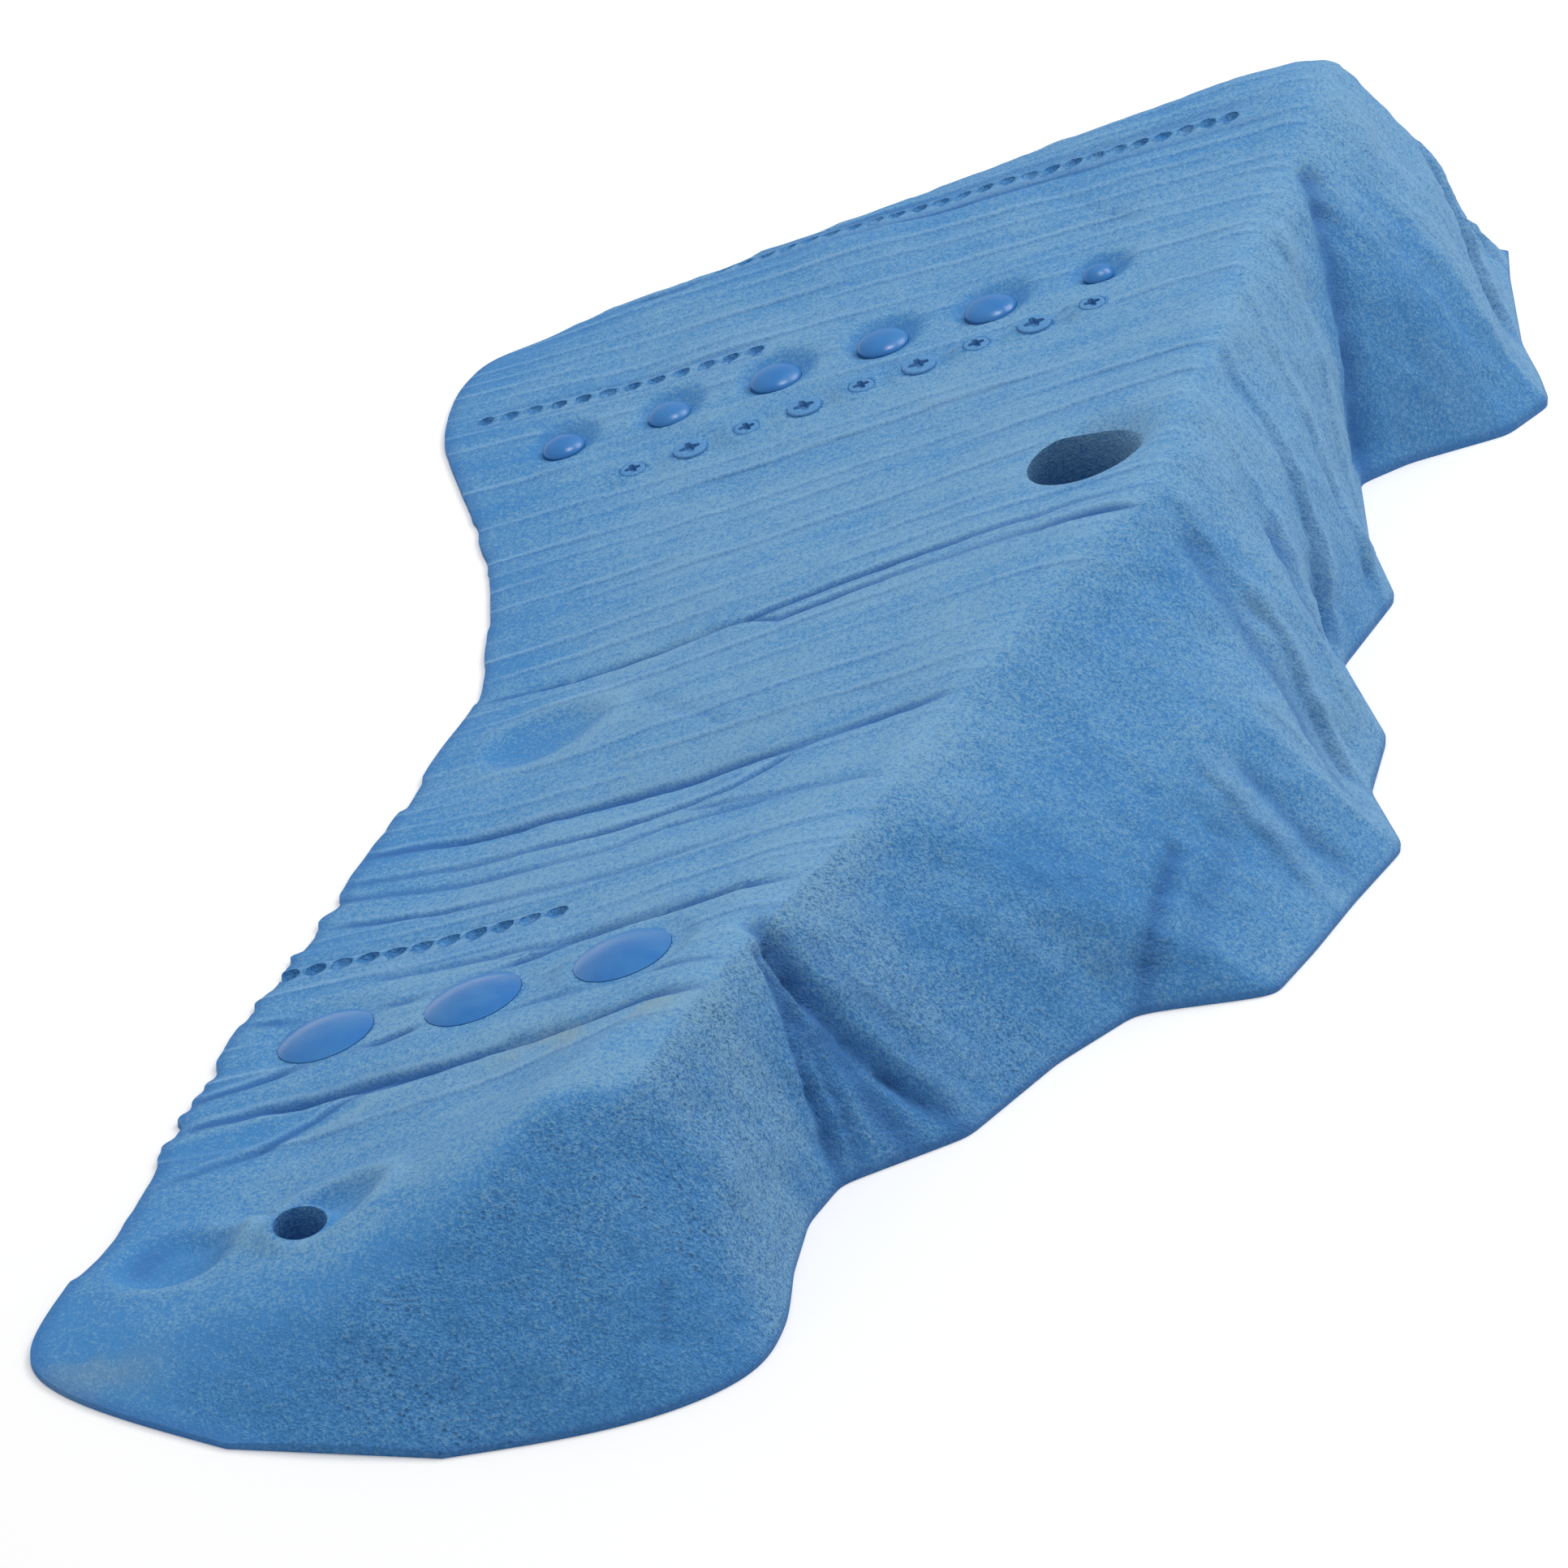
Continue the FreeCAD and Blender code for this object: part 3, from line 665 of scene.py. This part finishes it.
for name, (stand, radius) in stands.items():
    if name in BUTTON_NODES:
        tool = seat_tool(radius, WIDE_SHANK_RADIUS, BUTTON_SHANK)
    elif name in LENS_NODES:
        tool = seat_tool(radius, WIDE_SHANK_RADIUS, LENS_SHANK)
    else:
        tool = seat_tool(radius, CROSS_SHANK_RADIUS, CROSS_SHANK)
    placed(tool, tools, stand)
    tool.free()

# Dimples: small oval dents that lean with the face.
DIMPLE_SIZE = (2.2, 2.1, 1.7)
DIMPLE_LEAN = 16
DIMPLE_LIFT = 0.15       # how far the middle of a dent stands above the face
carved_tree = bare_surface(casting)
for x, y, size in dimples:
    ball = bmesh.new()
    bmesh.ops.create_icosphere(ball, subdivisions=2, radius=MM)
    bmesh.ops.scale(ball, verts=ball.verts, vec=Vector(DIMPLE_SIZE) * size)
    hit = carved_tree.ray_cast(Vector((x * MM, y * MM, PLUMB)), Vector((0, 0, -1)))
    lean = Matrix.Rotation(math.radians(-DIMPLE_LEAN), 4, "Y")
    middle = hit[0] + Vector((0, 0, DIMPLE_LIFT * MM))
    placed(ball, tools, Matrix.Translation(middle) @ lean)
    ball.free()

carve(casting, tools)

# The walls of both holes keep the grain; the recess is painted paler towards its mouth, as
# painted light falling in. Each wall is found by a radius just outside it and a height just above its
# floor.
RECESS_WALL, RECESS_FLOOR = 14.4, 36.5
ANCHOR_WALL, ANCHOR_FLOOR = 5.8, 9
for vert in casting.data.vertices:
    x, y, z = vert.co / MM
    in_recess = math.hypot(x, y) < RECESS_WALL and z > RECESS_FLOOR
    from_anchor = math.hypot(x - ANCHOR[0], y - ANCHOR[1])
    in_anchor = from_anchor < ANCHOR_WALL and z > ANCHOR_FLOOR
    if in_recess or in_anchor:
        depth_marks = dict.fromkeys(marks, 0.0)
        depth_marks["sanded"] = 0.5
        depth_marks["chalk_and_light"] = 0.3
        if in_recess:
            # Painted light: the chalk and crest marks rise towards the mouth of the recess.
            depth_marks["chalk_and_light"] = 0.7 * float(smooth_step(z, 38, 56))
            depth_marks["crest_and_light"] = 0.3 * float(smooth_step(z, 46, 61))
        for name, value in depth_marks.items():
            casting.data.attributes[name].data[vert.index].value = value


def srgb(code):
    """Linear colour from a hex sRGB code such as #4F8CC4."""
    parts = [int(code[i:i + 2], 16) / 255 for i in (1, 3, 5)]
    line = [p / 12.92 if p <= 0.04045 else ((p + 0.055) / 1.055) ** 2.4 for p in parts]
    return (*line, 1.0)


def new_material(name):
    material = bpy.data.materials.new(name)
    material.use_nodes = True
    material.node_tree.nodes.clear()
    return material, material.node_tree


def add(tree, kind, settings=None, **inputs):
    """Adds a node: settings are its own properties, inputs are sockets by name or number."""
    node = tree.nodes.new("ShaderNode" + kind)
    for key, value in (settings or {}).items():
        setattr(node, key, value)
    for key, value in inputs.items():
        socket = node.inputs[int(key[1:])] if key[0] == "n" and key[1:].isdigit() \
            else node.inputs[key.replace("_", " ")]
        if isinstance(value, bpy.types.NodeSocket):
            tree.links.new(value, socket)
        else:
            socket.default_value = value
    return node


def grain_scale(millimetres):
    """Pattern scale that gives grains of a real size."""
    return 1000 / millimetres


# Poured polyurethane resin with the foam pattern's open grain: matt all over, a fine pale
# fleck where it was rubbed down, deep blue on the untouched walls, with painted shade in the pores.
DEEP_BLUE = "#3B81BD"
CHALK_AND_LIGHT_BLUE = "#74A2C4"
CREST_CHALK_AND_LIGHT = "#86B2D8"
# The colour of painted shade in hollows, grooves, creases and pits:
SHADE_BLUE = "#2C66A6"
# The colour of painted shade in the pores and in the cross slots:
PORE_SHADE_BLUE = "#22589A"
STAIN_BUFF = "#8C9C94"
FLECK = 0.6              # millimetres, as the sizes below it
GRIT = 1.2
PORE = 1.9
MOTTLE = 24
GRAIN_DEPTH = 0.55
material, tree = new_material("foam_grain_polyurethane")
place = add(tree, "TexCoord").outputs["Object"]
mark = {name: add(tree, "Attribute", {"attribute_name": name}).outputs["Fac"] for name in marks}

fine = add(tree, "TexNoise", Vector=place, Scale=grain_scale(FLECK), Detail=2.0,
           Roughness=0.7).outputs["Fac"]
grit = add(tree, "TexNoise", Vector=place, Scale=grain_scale(GRIT), Detail=2.0,
           Roughness=0.6).outputs["Fac"]
mottle = add(tree, "TexNoise", Vector=place, Scale=grain_scale(MOTTLE), Detail=4.0,
             Roughness=0.6).outputs["Fac"]
cells = add(tree, "TexVoronoi", {"feature": "F1"}, Vector=place,
            Scale=grain_scale(PORE), Randomness=1.0).outputs["Distance"]

grain = add(tree, "Math", {"operation": "ADD"}, n0=fine, n1=grit).outputs[0]
speckle = add(tree, "MapRange", {"clamp": False}, Value=grain, n1=0.7, n2=1.3, n3=-0.5,
              n4=0.5).outputs[0]
patches = add(tree, "MapRange", {"clamp": False}, Value=mottle, n1=0.3, n2=0.7, n3=-0.14,
              n4=0.14).outputs[0]
worn = add(tree, "Math", {"operation": "ADD"}, n0=mark["chalk_and_light"], n1=speckle).outputs[0]
worn = add(tree, "Math", {"operation": "ADD", "use_clamp": True}, n0=worn, n1=patches)

# Open grain: painted shade in the pores, and shadow in the low spots between the flecks.
pit = add(tree, "MapRange", Value=cells, n1=0.12, n2=0.30, n3=0.75, n4=0.0).outputs[0]
gate = add(tree, "MapRange", Value=mottle, n1=0.44, n2=0.60).outputs[0]
open_grain = add(tree, "MapRange", Value=mark["sanded"], n1=0.0, n2=0.8, n3=0.85,
                 n4=0.12).outputs[0]
pit = add(tree, "Math", {"operation": "MULTIPLY"}, n0=pit, n1=gate).outputs[0]
pit = add(tree, "Math", {"operation": "MULTIPLY"}, n0=pit, n1=open_grain).outputs[0]
shadow_grain = add(tree, "MapRange", Value=grain, n1=0.74, n2=1.0, n3=0.5, n4=0.0).outputs[0]
dark = add(tree, "Math", {"operation": "MULTIPLY"}, n0=shadow_grain, n1=open_grain).outputs[0]
dark = add(tree, "Math", {"operation": "MAXIMUM"}, n0=pit, n1=dark).outputs[0]
worn_edge_and_light = add(tree, "MapRange", Value=mark["crest_and_light"], n3=0.0, n4=0.55).outputs[0]
# Painted shade: the shade mark darkens hollows, grooves, creases, pits and the lip.
painted_shade = add(tree, "MapRange", Value=mark["shade"], n3=0.0, n4=0.75).outputs[0]
coats = [(worn.outputs[0], CHALK_AND_LIGHT_BLUE), (dark, PORE_SHADE_BLUE), (worn_edge_and_light, CREST_CHALK_AND_LIGHT),
         (painted_shade, SHADE_BLUE)]

# Ledge edges rubbed white with a thin line of painted shade before each, and cuts darkened
# with painted shade, with a pale lip. Place in millimetres from the line, half width,
# strength, and colour.
RAGGED = 0.9             # how far the grain breaks each line up
for name, place_across, half, gain, tone in (
        ("edge", 0.6, 0.95, 0.5, CREST_CHALK_AND_LIGHT), ("edge", -0.6, 0.8, 0.25, SHADE_BLUE),
        ("cut", 2.6, 1.4, 0.55, CREST_CHALK_AND_LIGHT), ("cut", 0.0, 2.2, 1.0, SHADE_BLUE)):
    run = add(tree, "MapRange", {"clamp": False}, Value=mark[name + "_run"],
              n3=-LINE_REACH - place_across, n4=LINE_REACH - place_across).outputs[0]
    torn = add(tree, "Math", {"operation": "MULTIPLY_ADD"}, n0=fine, n1=RAGGED,
               n2=-RAGGED / 2).outputs[0]
    run = add(tree, "Math", {"operation": "ADD"}, n0=run, n1=torn).outputs[0]
    away = add(tree, "Math", {"operation": "ABSOLUTE"}, n0=run).outputs[0]
    near = add(tree, "MapRange", {"interpolation_type": "SMOOTHSTEP"}, Value=away, n1=0.0,
               n2=half, n3=gain, n4=0.0).outputs[0]
    near = add(tree, "Math", {"operation": "MULTIPLY"}, n0=near, n1=mark[name + "_gain"])
    coats.append((near.outputs[0], tone))
grime = add(tree, "MapRange", Value=mark["stain"], n3=0.0, n4=0.6).outputs[0]
coats.append((grime, STAIN_BUFF))

skin = srgb(DEEP_BLUE)
for amount, tone in coats:
    skin = add(tree, "Mix", {"data_type": "RGBA"}, n0=amount, n6=skin, n7=srgb(tone)).outputs[2]

height = add(tree, "Math", {"operation": "SUBTRACT"}, n0=grain, n1=pit).outputs[0]
tooth = add(tree, "MapRange", Value=mark["sanded"], n1=0.0, n2=1.0, n3=1.0, n4=0.32).outputs[0]
bump = add(tree, "Bump", Strength=tooth, Distance=GRAIN_DEPTH * MM, Height=height)
shader = add(tree, "BsdfPrincipled", Base_Color=skin, Roughness=0.85, IOR=1.45,
             Normal=bump.outputs[0])
add(tree, "OutputMaterial", Surface=shader.outputs[0])
casting.data.materials.clear()
casting.data.materials.append(material)
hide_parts("hold_body")
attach(casting, "root")

# ---------------------------------------------------------------------------------------
# The washer. A zinc-plated steel ring cast in under the bolt recess, where the bolt's head
# bears on it. Only its middle shows, at the bottom of the recess.
# ---------------------------------------------------------------------------------------
ZINC = "#A9ACAE"
SPANGLE = 3              # millimetres
material, tree = new_material("zinc_plated_steel")
place = add(tree, "TexCoord").outputs["Object"]
spangle = add(tree, "TexNoise", Vector=place, Scale=grain_scale(SPANGLE), Detail=4.0).outputs["Fac"]
tone = add(tree, "MapRange", Value=spangle, n1=0.3, n2=0.7, n3=0.75, n4=1.1).outputs[0]
colour = add(tree, "Mix", {"data_type": "RGBA", "blend_type": "MULTIPLY"}, n0=1.0,
             n6=srgb(ZINC), n7=tone).outputs[2]
gloss = add(tree, "MapRange", Value=spangle, n1=0.3, n2=0.7, n3=0.28, n4=0.45).outputs[0]
shader = add(tree, "BsdfPrincipled", Base_Color=colour, Metallic=1.0, Roughness=gloss)
add(tree, "OutputMaterial", Surface=shader.outputs[0])
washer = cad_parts["bolt_washer"]
washer.data.materials.clear()
washer.data.materials.append(material)

# ---------------------------------------------------------------------------------------
# The round buttons. Six domed studs of smooth polyurethane, cast in a polished mould and
# bonded by a shank in a blind socket, each in its own shallow pit.
# ---------------------------------------------------------------------------------------
BUTTON_RIM = 0.9
BUTTON_RISE = 2.5
BUTTON_FULLNESS = 0.62   # under one, the crown is flatter and the sides are steeper
RIM_DRAFT = 0.2          # how much the foot of the rim is drawn in

# Polyurethane straight from a polished mould: even blue with a soft sheen.
STUD_BLUE = "#2470B8"
STUD_PALE = "#377CBB"
CLOUD = 8                # millimetres
DUST = 0.7
material, tree = new_material("satin_polyurethane")
place = add(tree, "TexCoord").outputs["Object"]
cloud = add(tree, "TexNoise", Vector=place, Scale=grain_scale(CLOUD), Detail=3.0).outputs["Fac"]
dust = add(tree, "TexNoise", Vector=place, Scale=grain_scale(DUST), Detail=2.0).outputs["Fac"]
tint = add(tree, "MapRange", Value=cloud, n1=0.35, n2=0.7).outputs[0]
colour = add(tree, "Mix", {"data_type": "RGBA"}, n0=tint, n6=srgb(STUD_BLUE),
             n7=srgb(STUD_PALE)).outputs[2]
gloss = add(tree, "MapRange", Value=cloud, n1=0.3, n2=0.7, n3=0.20, n4=0.34).outputs[0]
bump = add(tree, "Bump", Strength=0.25, Distance=0.05 * MM, Height=dust)
shader = add(tree, "BsdfPrincipled", Base_Color=colour, Roughness=gloss, IOR=1.48,
             Normal=bump.outputs[0])
add(tree, "OutputMaterial", Surface=shader.outputs[0])
satin_resin = material


def dome_line(radius, rim, rise, fullness, steps=14):
    """Profile of a domed head, from its rim up to its crown."""
    line = []
    for step in range(steps + 1):
        angle = math.pi / 2 * step / steps
        r = radius * math.cos(angle)
        line.append((r, rim + rise * (1 - (r / radius) ** 2) ** fullness))
    line[-1] = (0, rim + rise)
    return line


def stud(name, node, profile, finish):
    """Turns one stud, stands it in its socket and puts it in place of its CAD node."""
    solid = turned_profile(profile, 56)
    bmesh.ops.transform(solid, matrix=stands[node][0], verts=solid.verts)
    item = finished(name, solid)
    item.data.materials.append(finish)
    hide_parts(node)
    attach(item, "root")
    return item


for number, node in enumerate(BUTTON_NODES, start=1):
    radius = stands[node][1]
    foot = [(0, -BUTTON_SHANK), (WIDE_SHANK_RADIUS, -BUTTON_SHANK), (WIDE_SHANK_RADIUS, 0),
            (radius - RIM_DRAFT, 0)]
    head = dome_line(radius, BUTTON_RIM, BUTTON_RISE, BUTTON_FULLNESS)
    stud("button_%d" % number, node, foot + head, satin_resin)

# ---------------------------------------------------------------------------------------
# The lenses. Three wide, low studs of the same satin resin, bonded in the same way and
# nearly flush, in a row across the hold near its tip.
# ---------------------------------------------------------------------------------------
LENS_RIM = 0.5
LENS_RISE = 2.2
LENS_FULLNESS = 0.95
LENS_DRAFT = 0.1
for number, node in enumerate(LENS_NODES, start=1):
    radius = stands[node][1]
    foot = [(0, -LENS_SHANK), (WIDE_SHANK_RADIUS, -LENS_SHANK), (WIDE_SHANK_RADIUS, 0),
            (radius - LENS_DRAFT, 0)]
    head = dome_line(radius, LENS_RIM, LENS_RISE, LENS_FULLNESS, 20)
    stud("lens_%d" % number, node, foot + head, satin_resin)

# ---------------------------------------------------------------------------------------
# The cross-slot studs. Nine flat polyurethane heads, small and large by turns, with a
# softened edge and a four-armed slot. Each has a thin shank bonded in a blind socket.
# ---------------------------------------------------------------------------------------
CROSS_HEIGHT = 1.9
SLOT_DEPTH = 1.5
SLOT_CLEARANCE = 0.8     # the slot tool reaches this far above the head
SLOT_FLARE = 1.25        # how much wider the slot is at its mouth
SLOT_TURN = 20           # degrees from the across direction
ARM_REACH = 0.54         # of the head's radius
CORNER_REACH = 0.56      # of an arm's length, where two arms meet
ARM_HALF_WIDTH = 0.5
HEAD_EDGE = 0.5          # the rounded edge of the head
EDGE_STEPS = 5

# Polyurethane rubbed matt: the same pale fleck covers these heads as covers the face.
material, tree = new_material("rubbed_polyurethane")
place = add(tree, "TexCoord").outputs["Object"]
fine = add(tree, "TexNoise", Vector=place, Scale=grain_scale(FLECK), Detail=2.0,
           Roughness=0.7).outputs["Fac"]
worn = add(tree, "MapRange", Value=fine, n1=0.3, n2=0.7, n3=0.0, n4=0.6).outputs[0]
colour = add(tree, "Mix", {"data_type": "RGBA"}, n0=worn, n6=srgb(STUD_PALE),
             n7=srgb(CHALK_AND_LIGHT_BLUE)).outputs[2]
# Painted shade darkens the slot.
in_slot = add(tree, "Attribute", {"attribute_name": "slot"}).outputs["Fac"]
colour = add(tree, "Mix", {"data_type": "RGBA"}, n0=in_slot, n6=colour,
             n7=srgb(PORE_SHADE_BLUE)).outputs[2]
bump = add(tree, "Bump", Strength=0.5, Distance=0.15 * MM, Height=fine)
shader = add(tree, "BsdfPrincipled", Base_Color=colour, Roughness=0.75, IOR=1.45,
             Normal=bump.outputs[0])
add(tree, "OutputMaterial", Surface=shader.outputs[0])

for number, node in enumerate(CROSS_NODES, start=1):
    stand, radius = stands[node]
    line = [(0, -CROSS_SHANK), (CROSS_SHANK_RADIUS, -CROSS_SHANK), (CROSS_SHANK_RADIUS, 0),
            (radius - 0.15, 0), (radius, 0.2), (radius, CROSS_HEIGHT - HEAD_EDGE)]
    for step in range(1, EDGE_STEPS + 1):
        angle = math.pi / 2 * step / EDGE_STEPS
        line.append((radius - HEAD_EDGE * (1 - math.cos(angle)),
                     CROSS_HEIGHT - HEAD_EDGE * (1 - math.sin(angle)) * 0.9 - 0.08))
    line += [(radius * 0.5, CROSS_HEIGHT - 0.02), (0, CROSS_HEIGHT)]
    item = stud("cross_%d" % number, node, line, material)

    # The slot's floor is a cross of eight corners, four of them doubled into arm ends.
    arms = bmesh.new()
    arm_length = radius * ARM_REACH
    corners = []
    for step in range(8):
        angle = math.radians(SLOT_TURN + 45 * step)
        if step % 2 == 0:
            for side in (-1, 1):
                beside = ARM_HALF_WIDTH * side
                corners.append(Vector((math.cos(angle) * arm_length - math.sin(angle) * beside,
                                       math.sin(angle) * arm_length + math.cos(angle) * beside,
                                       0)))
        else:
            reach = arm_length * CORNER_REACH
            corners.append(Vector((math.cos(angle) * reach, math.sin(angle) * reach, 0)))
    floor_face = arms.faces.new([arms.verts.new(corner * MM) for corner in corners])
    raised = bmesh.ops.extrude_face_region(arms, geom=[floor_face])["geom"]
    for vert in (part for part in raised if isinstance(part, bmesh.types.BMVert)):
        vert.co *= SLOT_FLARE
        vert.co.z = (SLOT_DEPTH + SLOT_CLEARANCE) * MM
    slot_layer = arms.verts.layers.float.new("slot")
    for vert in arms.verts:
        vert[slot_layer] = 1.0
    bmesh.ops.recalc_face_normals(arms, faces=arms.faces)
    bmesh.ops.transform(arms, matrix=stand @ Matrix.Translation(
        (0, 0, (CROSS_HEIGHT - SLOT_DEPTH) * MM)), verts=arms.verts)
    carve(item, arms)

# ---------------------------------------------------------------------------------------
# The studio. A wide flat white table in a white room, with one softbox overhead and a
# larger one behind to the right. The camera stands at the tip's end.
# ---------------------------------------------------------------------------------------
TABLE_HALF_WIDTH = 12    # metres
TABLE_GRAIN = 2.0        # millimetres
material, tree = new_material("white_table")
place = add(tree, "TexCoord").outputs["Object"]
tooth = add(tree, "TexNoise", Vector=place, Scale=grain_scale(TABLE_GRAIN), Detail=3.0).outputs["Fac"]
tone = add(tree, "MapRange", Value=tooth, n3=0.95, n4=0.97).outputs[0]
shader = add(tree, "BsdfPrincipled", Base_Color=tone, Roughness=0.9)
add(tree, "OutputMaterial", Surface=shader.outputs[0])
top = bmesh.new()
bmesh.ops.create_grid(top, x_segments=8, y_segments=8, size=TABLE_HALF_WIDTH)
table = finished("table", top)
table.data.materials.append(material)
table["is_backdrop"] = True

ROOM_LIGHT = 0.48
world = bpy.data.worlds.new("white_room")
bpy.context.scene.world = world
world.use_nodes = True
room = world.node_tree.nodes["Background"]
room.inputs["Color"].default_value = (1, 1, 1, 1)
room.inputs["Strength"].default_value = ROOM_LIGHT
bpy.context.scene.view_settings.view_transform = "Standard"


def softbox(name, place, size, power):
    """A square lamp, size in metres and power in watts, that points at the bolt hole."""
    lamp = bpy.data.lights.new(name, "AREA")
    lamp.shape = "SQUARE"
    lamp.size = size
    lamp.energy = power
    item = bpy.data.objects.new(name, lamp)
    item.location = place
    item.rotation_euler = (-Vector(place)).to_track_quat("-Z", "Y").to_euler()
    bpy.context.scene.collection.objects.link(item)


softbox("overhead", (0, 0.08, 2.4), 0.7, 21)
softbox("back_right", (1.09, 1.09, 1.84), 1.2, 23)

# The camera stands 1.4 m off, above the tip, and looks down along the hold.
FOCAL_LENGTH = 137.9
CAMERA_DISTANCE = 1.396
CAMERA_AZIMUTH = math.radians(4)
CAMERA_ELEVATION = math.radians(33)
AIM = Vector((-0.066, -0.053, 0))
lens = bpy.data.cameras.new("camera")
lens.sensor_width = 36
lens.lens = FOCAL_LENGTH
camera = bpy.data.objects.new("camera", lens)
back = Vector((math.sin(CAMERA_AZIMUTH) * math.cos(CAMERA_ELEVATION),
               -math.cos(CAMERA_AZIMUTH) * math.cos(CAMERA_ELEVATION),
               math.sin(CAMERA_ELEVATION)))
camera.location = AIM + back * CAMERA_DISTANCE
camera.rotation_euler = (-back).to_track_quat("-Z", "Y").to_euler()
bpy.context.scene.collection.objects.link(camera)
bpy.context.scene.camera = camera

low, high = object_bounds()
